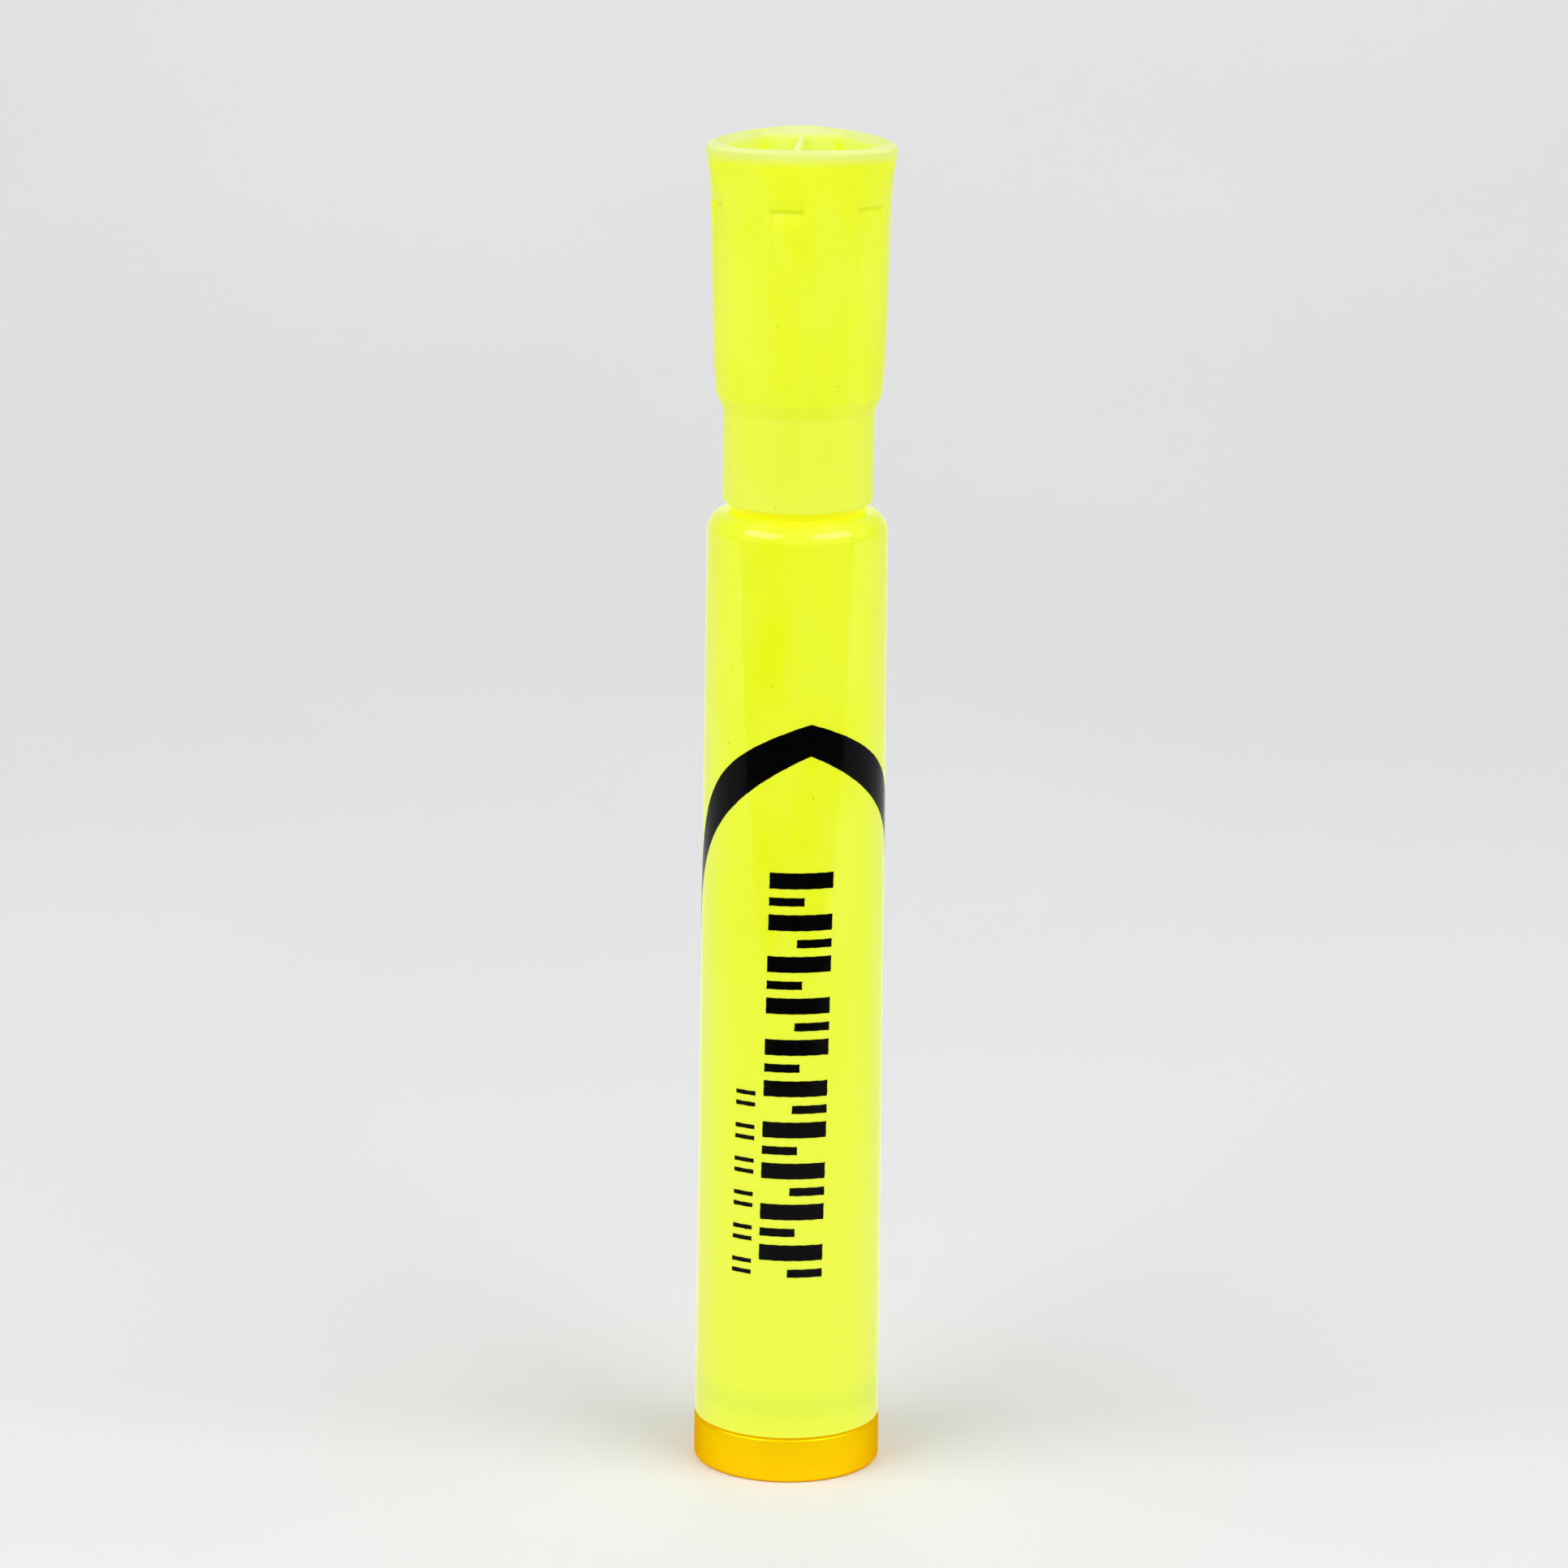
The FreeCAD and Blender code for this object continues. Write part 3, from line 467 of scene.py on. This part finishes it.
def sharp_corners(piece, degrees=38.0):
    """Keep corners steeper than this crisp while the rest shades smoothly."""
    limit = math.radians(degrees)
    bm = bmesh.new()
    bm.from_mesh(piece.data)
    for edge in bm.edges:
        edge.smooth = len(edge.link_faces) == 2 and edge.calc_face_angle(0.0) < limit
    bm.to_mesh(piece.data)
    bm.free()


def span(node):
    """Lowest and highest level of a CAD node, in millimetres."""
    low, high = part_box(node)
    return low[2] / MM, high[2] / MM


def reach(node):
    """Largest radius of a round CAD node, in millimetres."""
    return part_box(node)[1][0] / MM


# %% [markdown]
# The barrel's radius narrows by 0.38 mm on its way up, so that it leaves the mould. Its
# shoulder is one large round, and the hole in the shoulder lets the nose through. The bevels come
# after the spin, and each is found by the radius and the level of its edge.

# %% Barrel
FOOT_R = reach("barrel")
HEAD_R = FOOT_R - 0.38
BORE_R = 7.4
SHOULDER_ROUND = 2.1
SHOULDER_WALL = 1.3
low, top = span("barrel")
HOLE_R = 6.33

bm = spin_profile([
    (BORE_R, low), (FOOT_R, low), (HEAD_R, top), (HOLE_R, top),
    (HOLE_R, top - SHOULDER_WALL), (BORE_R, top - SHOULDER_WALL)])
round_rings(bm, [(HEAD_R, top, SHOULDER_ROUND)], segments=18)
round_rings(bm, [(FOOT_R, low, 0.22), (HOLE_R, top, 0.15)], segments=4)
barrel = add_piece("barrel_tube", bm, barrel_finish, "barrel", "barrel")
sharp_corners(barrel)


def barrel_radius(level):
    """Outside radius of the barrel's straight wall at a level, in millimetres."""
    return FOOT_R + (HEAD_R - FOOT_R) * (level - low) / (top - low)


# %% [markdown]
# The gold ring is a drawn cup with its lip rolled in under the foot. The upper edge is the one that
# catches the light beside the seam, so it gets a round of its own.

# %% Foot ring
RING_R = reach("base_ring")
ring_top = span("base_ring")[1]
RING_BORE = 7.8
LIP_R = 7.2
LIP_TOP = 0.6

bm = spin_profile([
    (LIP_R, 0.0), (RING_R, 0.0), (RING_R, ring_top), (RING_BORE, ring_top),
    (RING_BORE, LIP_TOP), (LIP_R, LIP_TOP)])
round_rings(bm, [(RING_R, 0.0, 0.45), (RING_R, ring_top, 0.22), (RING_BORE, ring_top, 0.12)])
foot_ring = add_piece(
    "foot_ring", bm, FINISHES["gold_metal"], "twist_base", "base_ring")
sharp_corners(foot_ring)

# %% [markdown]
# The cap isn't round all the way up: it flares into a rounded triangle, six shallow flutes give
# the fingers a hold, and the open top has a six-sided recess. A spin can't do that. The cap is
# lofted instead: one circle is extruded upwards ring by ring, and each ring's vertices slide
# along their own direction from the axis to the radius that a short rule gives for that angle.

# %% The cap's outlines
CAP_LOW, CAP_TOP = span("cap_shell")
CORNER_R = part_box("cap_shell")[1][1] / MM
SIDE_R = 7.9
CORNER_ROUND = 2.3
FLARE_START = 121.4
FLARE_POWER = 1.45
FIRST_FLUTE = 20.5
FLUTE_HALF = 11.3
FLUTE_SOFT = 4.0
FLUTE_LOW = 109.0
FLUTE_LEDGE = 123.7
LIP_LEVEL = 123.95
LIP_DEPTH = 0.17
FLUTE_TOP = 124.9
LEDGE_DEPTH = 0.66
FLUTE_DEPTH = 0.24
LEDGE_FALL = 1.9
STEP_LOW = 103.9
STEP_TOP = 105.35
WALL = [(CAP_LOW, 7.11), (STEP_LOW, 7.15), (STEP_TOP, 7.80), (108.0, 8.03), (113.0, 8.19),
        (119.9, 8.33), (FLARE_START, 8.36), (CAP_TOP, 8.60)]


def smooth(value):
    """0 to 1 with soft ends."""
    value = min(max(value, 0.0), 1.0)
    return value * value * (3.0 - 2.0 * value)


def wall_radius(level):
    """Radius of the cap's round body at a level, straight between the wall's stations."""
    for (low_z, low_r), (high_z, high_r) in zip(WALL, WALL[1:]):
        if level <= high_z:
            share = (level - low_z) / (high_z - low_z)
            return low_r + (high_r - low_r) * share
    return WALL[-1][1]


def triangle_radius(angle):
    """Rounded triangle with bulged sides, corners at 90, 210 and 330 degrees.

    Each corner's circle touches the circle of the side from inside. The angle of the touching
    point is where the outline changes from one circle to the other without a crease.
    """
    off_corner = abs((math.degrees(angle) - 90.0 + 60.0) % 120.0 - 60.0)
    centre = CORNER_R - CORNER_ROUND
    inset = SIDE_R - CORNER_ROUND
    behind = (centre ** 2 - inset ** 2) / (2.0 * inset - centre)
    off_side = math.radians(60.0 - off_corner)
    side = -behind * math.cos(off_side) + math.sqrt(
        (SIDE_R + behind) ** 2 - (behind * math.sin(off_side)) ** 2)
    turn = math.radians(off_corner)
    lean = math.atan2(behind * math.sin(math.radians(60.0)), centre + behind * 0.5)
    touch = math.atan2(CORNER_ROUND * math.sin(lean), centre + CORNER_ROUND * math.cos(lean))
    if turn > touch:
        return side
    return centre * math.cos(turn) + math.sqrt(CORNER_ROUND ** 2 - (centre * math.sin(turn)) ** 2)


def flute_depth(angle, level):
    """How far the flutes pull the wall in."""
    across = abs((math.degrees(angle) - FIRST_FLUTE + 30.0) % 60.0 - 30.0)
    width = smooth((FLUTE_HALF - across) / FLUTE_SOFT + 0.5)
    if level > LIP_LEVEL:
        return LIP_DEPTH * width * max(0.0, (FLUTE_TOP - level) / (FLUTE_TOP - LIP_LEVEL))
    if level > FLUTE_LEDGE:
        share = (LIP_LEVEL - level) / (LIP_LEVEL - FLUTE_LEDGE)
        return width * (LIP_DEPTH + (LEDGE_DEPTH - LIP_DEPTH) * share)
    depth = FLUTE_DEPTH * smooth((level - FLUTE_LOW) / (FLUTE_LEDGE - FLUTE_LOW))
    near_ledge = max(0.0, 1.0 - (FLUTE_LEDGE - level) / LEDGE_FALL)
    return width * (depth + (LEDGE_DEPTH - FLUTE_DEPTH) * near_ledge ** 2)


def outside_radius(angle, level):
    """The cap's outer surface: round body, flare and flutes."""
    share = (level - FLARE_START) / (CAP_TOP - FLARE_START)
    flare = max(share, 0.0) ** FLARE_POWER
    radius = wall_radius(level)
    radius += (triangle_radius(angle) - radius) * flare
    return radius - flute_depth(angle, level)


def hexagon_radius(angle, half):
    """Six-sided outline with flats at 90 degrees; its corners are slightly rounded."""
    off_flat = math.radians(abs((math.degrees(angle) + 30.0) % 60.0 - 30.0))
    return min(half / math.cos(math.radians(30.0) - off_flat), half * 1.142)


print("flare starts %.1f mm below the rim" % (CAP_TOP - FLARE_START))

# %% [markdown]
# The levels are the rings of the loft. They are close together where the surface turns quickly: at
# the rounded skirt edge, the step, the ledge of the flutes and the rim. The rim's top is dished: it
# falls a little from its outer edge to the recess.

# %% Loft the cap
CAP_BORE = 6.42
CAP_ROOF = 118.8
RECESS_HALF = 6.5
RECESS_FLOOR = 121.4
RIM_ROUND = 0.50
RIM_DISH = 0.50
SKIRT_ROUND = 0.42
LOFT_STEPS = 360


def steps_between(start, end, count):
    """Count levels from start towards end, end left out."""
    return [start + (end - start) * number / count for number in range(count)]


def cap_rings():
    """Each ring as a rule that gives (radius, height) in millimetres for an angle."""
    rings = []
    rings.append(lambda angle: (CAP_BORE, CAP_ROOF))
    rings.append(lambda angle: (CAP_BORE, CAP_LOW + 0.15))
    rings.append(lambda angle: (CAP_BORE + 0.12, CAP_LOW))
    for number in range(7):
        turn = math.radians(15.0 * number)
        inward = SKIRT_ROUND * (1.0 - math.sin(turn))
        upward = SKIRT_ROUND * (1.0 - math.cos(turn))
        rings.append(lambda angle, i=inward, u=upward: (
            outside_radius(angle, CAP_LOW) - i, CAP_LOW + u))
    levels = steps_between(CAP_LOW + 1.0, STEP_LOW - 0.2, 6)
    levels += [STEP_LOW + shift for shift in (-0.15, -0.04, 0.02, 0.1, 0.25)]
    levels += steps_between(STEP_LOW + 0.4, STEP_TOP - 0.2, 4)
    levels += [STEP_TOP + shift for shift in (-0.18, -0.08, -0.02, 0.02, 0.1, 0.25)]
    levels += steps_between(STEP_TOP + 0.5, FLUTE_LEDGE - 0.5, 22)
    levels += [FLUTE_LEDGE + shift for shift in (-0.5, -0.25, -0.1, -0.02, 0.02, 0.12)]
    levels += [LIP_LEVEL + shift for shift in (-0.02, 0.02, 0.1)]
    levels += steps_between(LIP_LEVEL + 0.2, FLUTE_TOP + 0.4, 8)
    levels += steps_between(FLUTE_TOP + 0.4, CAP_TOP - RIM_ROUND, 10)
    for level in levels:
        rings.append(lambda angle, z=level: (outside_radius(angle, z), z))
    for number in range(7):
        turn = math.radians(15.0 * number)
        inward = RIM_ROUND * (1.0 - math.cos(turn))
        upward = RIM_ROUND * math.sin(turn)
        rings.append(lambda angle, i=inward, u=upward: (
            outside_radius(angle, CAP_TOP - RIM_ROUND + u) - i, CAP_TOP - RIM_ROUND + u))
    for share in steps_between(0.08, 1.0, 7):
        rings.append(lambda angle, s=share: rim_point(angle, s))
    for drop, inward in ((0.0, 0.0), (0.05, 0.08), (0.15, 0.14), (0.35, 0.18), (0.8, 0.2)):
        rings.append(lambda angle, d=drop, i=inward: (
            hexagon_radius(angle, RECESS_HALF) - i, CAP_TOP - RIM_DISH - d))
    rings.append(lambda angle: (hexagon_radius(angle, RECESS_HALF - 0.35), RECESS_FLOOR + 0.3))
    rings.append(lambda angle: (hexagon_radius(angle, RECESS_HALF - 0.55), RECESS_FLOOR))
    return rings


def rim_point(angle, share):
    """Point on the dished rim, from its outer edge at share 0 to the recess at share 1."""
    outer = outside_radius(angle, CAP_TOP) - RIM_ROUND
    inner = hexagon_radius(angle, RECESS_HALF)
    return outer + (inner - outer) * share, CAP_TOP - RIM_DISH * share ** 0.8


def loft_rings(rings, steps):
    """Extrude a circle ring by ring, and close both ends with a face."""
    bm = bmesh.new()
    bmesh.ops.create_circle(bm, segments=steps, radius=1.0)
    edges = bm.edges[:]
    verts = bm.verts[:]
    for number, rule in enumerate(rings):
        if number:
            grown = bmesh.ops.extrude_edge_only(bm, edges=edges)["geom"]
            verts = [item for item in grown if isinstance(item, bmesh.types.BMVert)]
            edges = [item for item in grown if isinstance(item, bmesh.types.BMEdge)]
            edges = [edge for edge in edges if len(edge.link_faces) == 1]
        for vert in verts:
            angle = math.atan2(vert.co.y, vert.co.x)
            radius, level = rule(angle)
            vert.co = (radius * MM * math.cos(angle), radius * MM * math.sin(angle), level * MM)
    bmesh.ops.holes_fill(bm, edges=[edge for edge in bm.edges if len(edge.link_faces) == 1])
    bmesh.ops.recalc_face_normals(bm, faces=bm.faces[:])
    return bm


bm = loft_rings(cap_rings(), LOFT_STEPS)
cap = add_piece("cap_body", bm, cap_finish, "cap", "cap_shell")
sharp_corners(cap, 50.0)

# %% [markdown]
# One thin rib crosses the recess. It is a cube that is stretched into place, and its far end is
# pinched, because a rib is thinner away from the gate where the plastic came in.

# %% Rib in the recess
RIB_ANGLE = math.radians(-3.0)
RIB_NEAR_HALF = 0.40
RIB_FAR_HALF = 0.22
RIB_REACH = 6.75
RIB_TOP = CAP_TOP - RIM_DISH - 0.05

bm = bmesh.new()
bmesh.ops.create_cube(bm, size=2.0)
for vert in bm.verts:
    half = RIB_FAR_HALF if vert.co.y > 0.0 else RIB_NEAR_HALF
    level = RIB_TOP if vert.co.z > 0.0 else RECESS_FLOOR - 0.4
    vert.co = (vert.co.x * half * MM, vert.co.y * RIB_REACH * MM, level * MM)
top_edges = [edge for edge in bm.edges if all(v.co.z > (RIB_TOP - 0.1) * MM for v in edge.verts)]
bmesh.ops.bevel(bm, geom=top_edges, offset=0.1 * MM, offset_type="OFFSET", segments=3,
                profile=0.5, affect="EDGES", material=-1)
bmesh.ops.rotate(bm, verts=bm.verts[:], cent=(0, 0, 0), matrix=Matrix.Rotation(RIB_ANGLE, 3, "Z"))
bmesh.ops.translate(bm, verts=bm.verts[:], vec=(-0.35 * MM, 0.0, 0.0))
rib = add_piece("cap_rib", bm, cap_finish, "cap", "cap_shell")
sharp_corners(rib)

# %% [markdown]
# The barrel carries a black print: a pointed arch and a column of plain bars. The print is built
# as thin skins of ink that hug the barrel. A flat grid is drawn first, in millimetres round the
# barrel and up it, and then wrapped. Geometry is chosen over a mask in the plastic, because its
# edge stays crisp at any distance. The edges wander by a hundredth or two of a millimetre, as a
# screen print does on a curved wall.

# %% Print helpers
INK_LIFT = 0.008
INK_THICK = 0.014
WANDER = 0.012


def wander(position):
    """Slow irregular waver of a printed edge, in millimetres."""
    return WANDER * (math.sin(position * 3.1) + 0.6 * math.sin(position * 7.7 + 1.3)
                     + 0.35 * math.sin(position * 17.3 + 0.4))


def wrap_on_barrel(bm):
    """Bend a flat sheet (x round the barrel, z up it, millimetres) onto the wall."""
    for vert in bm.verts:
        level = vert.co.z
        turn = math.radians(-90.0) + vert.co.x / barrel_radius(level)
        radius = (barrel_radius(level) + INK_LIFT) * MM
        vert.co = (radius * math.cos(turn), radius * math.sin(turn), level * MM)
    bmesh.ops.recalc_face_normals(bm, faces=bm.faces[:])
    for face in bm.faces:
        middle = face.calc_center_median()
        if face.normal.dot(Vector((middle.x, middle.y, 0.0))) < 0.0:
            face.normal_flip()
    bmesh.ops.solidify(bm, geom=bm.faces[:], thickness=-INK_THICK * MM)
    bmesh.ops.recalc_face_normals(bm, faces=bm.faces[:])


def printed_sheet(bm, columns, rows, rule):
    """Add a grid whose corners a rule places from two shares, each 0 to 1."""
    grid = bmesh.ops.create_grid(bm, x_segments=columns, y_segments=rows, size=0.5)
    for vert in grid["verts"]:
        x, z = rule(vert.co.x + 0.5, vert.co.y + 0.5)
        vert.co = (x, 0.0, z)


# %% [markdown]
# The arch is one grid for each leg. Its outer and inner edges fall away from the apex as parabolas,
# and a high power of the distance bends them downwards at the sides, where they meet in a point.

# %% Arch
APEX_X = 1.57
ARCH_TOP = 75.27
ARCH_INNER_TOP = 72.2
LEG_REACH = 16.2


def arch_edges(distance):
    """Levels of the outer and inner edge at a distance from the apex, in millimetres."""
    outer = ARCH_TOP - 0.29 * distance - 0.027 * distance ** 2 - 6.5e-7 * distance ** 6
    inner = ARCH_INNER_TOP - 0.43 * distance - 0.032 * distance ** 2 - 3.2e-7 * distance ** 6
    return max(outer, inner), inner


def arch_leg(side):
    """Rule for one leg: side is -1 to the left and 1 to the right."""
    def rule(along, across):
        distance = LEG_REACH * along
        outer, inner = arch_edges(distance)
        rough = min(1.0, outer - inner)
        outer += rough * wander(distance + 3.0 * side)
        inner += rough * wander(distance * 1.1 + 7.0 * side)
        return APEX_X + side * distance, inner + (outer - inner) * across
    return rule


bm = bmesh.new()
for side in (-1.0, 1.0):
    printed_sheet(bm, 160, 4, arch_leg(side))
bmesh.ops.remove_doubles(bm, verts=bm.verts[:], dist=0.02)
bmesh.ops.dissolve_degenerate(bm, edges=bm.edges[:], dist=0.001)
wrap_on_barrel(bm)
arch = add_piece("arch_print", bm, black_ink, "barrel")
sharp_corners(arch)

# %% [markdown]
# Below the arch stands a column of plain bars with a row of short ticks beside it. They stand for
# the print that such pens carry and say nothing: each bar has one thickness, a left end and a
# right end, and the column leans by 0.7 mm from top to bottom.

# %% Bars and ticks
COLUMN_TOP = 61.1
COLUMN_LOW = 20.2
COLUMN_HALF = 3.1
COLUMN_X = (0.88, 0.17)
BARS = ((2.3, -1.0, 1.0), (1.2, -1.0, 0.1), (2.3, -1.0, 1.0), (1.2, -0.1, 1.0))
BAR_REPEATS = 5
TICK_LEFT = -6.0
TICK_RIGHT = -3.9
TICK_TOP = 40.1
TICK_LOW = 20.0
TICK_GROUPS = 6
TICK_THICK = 0.42


def column_x(level):
    """Middle of the leaning column at a level."""
    share = (COLUMN_TOP - level) / (COLUMN_TOP - COLUMN_LOW)
    return COLUMN_X[0] + (COLUMN_X[1] - COLUMN_X[0]) * share


def bar_rule(left, right, low_z, high_z):
    """Rule for one bar with wandering edges."""
    def rule(across, up):
        x = left + (right - left) * across
        z = low_z + (high_z - low_z) * up
        return x + column_x(z) + wander(z * 2.0 + across), z + wander(x * 1.7 + low_z + up)
    return rule


bm = bmesh.new()
pitch = (COLUMN_TOP - COLUMN_LOW) / (BAR_REPEATS * len(BARS))
for number in range(BAR_REPEATS * len(BARS)):
    thick, left, right = BARS[number % len(BARS)]
    middle = COLUMN_TOP - pitch * (number + 0.5)
    thick *= pitch / 3.0
    printed_sheet(bm, 24, 5, bar_rule(
        left * COLUMN_HALF, right * COLUMN_HALF, middle - thick / 2, middle + thick / 2))
tick_pitch = (TICK_TOP - TICK_LOW) / TICK_GROUPS
for number in range(TICK_GROUPS):
    middle = TICK_TOP - tick_pitch * (number + 0.5)
    for offset in (-0.55, 0.55):
        spot = middle + offset
        printed_sheet(bm, 10, 2, bar_rule(
            TICK_LEFT, TICK_RIGHT, spot - TICK_THICK / 2, spot + TICK_THICK / 2))
wrap_on_barrel(bm)
bars = add_piece("bar_print", bm, black_ink, "barrel")
sharp_corners(bars)

# %% [markdown]
# The stage is a seamless sweep of paper: a floor that curves up into a wall. It is one profile
# line extruded sideways. The paper ends 14 cm in front of the highlighter. A glossy
# upright wall mirrors whatever lies in front of it and below, so the upper print mirrors the dark
# room past that edge and stays black, while the lower print mirrors the paper and turns grey. An
# apron carries the floor further to the front for anyone who looks from behind. Mirror rays
# don't see it.

# %% Sweep
SWEEP_BACK = 0.40
SWEEP_BEND = 0.62
SWEEP_FRONT = -0.14
APRON_FRONT = -3.0
SWEEP_HALF = 3.0
SWEEP_HEIGHT = 3.2


def sweep_sheet(name, line_points, finish):
    """Sheet made from a profile line in the YZ plane, extruded across the room."""
    bm = bmesh.new()
    line = [bm.verts.new((-SWEEP_HALF, y, z)) for y, z in line_points]
    edges = [bm.edges.new(pair) for pair in zip(line, line[1:])]
    grown = bmesh.ops.extrude_edge_only(bm, edges=edges)["geom"]
    moved = [item for item in grown if isinstance(item, bmesh.types.BMVert)]
    bmesh.ops.translate(bm, verts=moved, vec=(2.0 * SWEEP_HALF, 0.0, 0.0))
    bmesh.ops.recalc_face_normals(bm, faces=bm.faces[:])
    mesh = bpy.data.meshes.new(name)
    bm.to_mesh(mesh)
    bm.free()
    mesh.shade_smooth()
    mesh.materials.append(finish)
    sheet = bpy.data.objects.new(name, mesh)
    bpy.context.scene.collection.objects.link(sheet)
    return sheet


paper, tree, shader, place = start_material("sweep_paper", (0.80, 0.80, 0.80), 0.75)
cloud = add_node(tree, "TexNoise", Vector=place, Scale=6.0, Detail=2.0).outputs["Fac"]
tone = blend_colours(tree, ramp(tree, cloud, 0.3, 0.7), (0.80, 0.80, 0.805), (0.82, 0.82, 0.82))
tree.links.new(tone, shader.inputs["Base Color"])

profile = [(SWEEP_FRONT, 0.0)]
for number in range(33):
    turn = math.radians(90.0 * number / 32.0)
    profile.append((SWEEP_BACK + SWEEP_BEND * math.sin(turn), SWEEP_BEND * (1.0 - math.cos(turn))))
profile.append((SWEEP_BACK + SWEEP_BEND, SWEEP_HEIGHT))
sweep_sheet("sweep", profile, paper)
apron = sweep_sheet("apron", [(APRON_FRONT, 0.0), (SWEEP_FRONT, 0.0)], paper)
apron.visible_glossy = False

# %% [markdown]
# Two soft boxes stand at the front left and the front right, and look down at the highlighter.
# They make the pair of glints on the shoulder and the two faint shadows beside the foot. The room
# itself gives the rest: bright above, dark below the table's edge. A small lamp close over the
# bend of the sweep makes the backdrop brighter in the middle than at its sides.

# %% Lights
def softbox(name, azimuth, elevation, distance, width, height, power, target=(0.0, 0.0, 0.06)):
    """Rectangular lamp that faces the target. Azimuth 0 is the camera's side, 90 is +X."""
    turn, rise = math.radians(azimuth), math.radians(elevation)
    offset = Vector((math.sin(turn) * math.cos(rise), -math.cos(turn) * math.cos(rise),
                     math.sin(rise))) * distance
    data = bpy.data.lights.new(name, "AREA")
    data.shape = "RECTANGLE"
    data.size = width
    data.size_y = height
    data.energy = power
    lamp = bpy.data.objects.new(name, data)
    bpy.context.scene.collection.objects.link(lamp)
    lamp.matrix_world = Matrix.Translation(Vector(target) + offset) @ (
        offset.to_track_quat("Z", "Y").to_matrix().to_4x4())
    return lamp


softbox("left_box", -55.0, 44.0, 0.95, 0.74, 0.42, 3.8)
softbox("right_box", 55.0, 44.0, 0.95, 0.74, 0.42, 3.65)
softbox("wall_light", 0.0, 80.0, 0.5, 0.3, 0.3, 0.50, target=(0.0, 0.95, 0.05))

world = bpy.data.worlds.new("studio")
bpy.context.scene.world = world
world.use_nodes = True
tree = world.node_tree
background = tree.nodes["Background"]
direction = tree.nodes.new("ShaderNodeTexCoord").outputs["Generated"]
rising = add_node(tree, "SeparateXYZ", Vector=direction).outputs["Z"]
above = ramp(tree, rising, -0.02, 0.25)
tree.links.new(blend_colours(tree, above, (0.09, 0.09, 0.09), (0.98, 0.985, 1.0)),
               background.inputs["Color"])
background.inputs["Strength"].default_value = 0.612

view = bpy.context.scene.view_settings
view.view_transform = "Standard"
view.look = "None"
view.exposure = 0.0
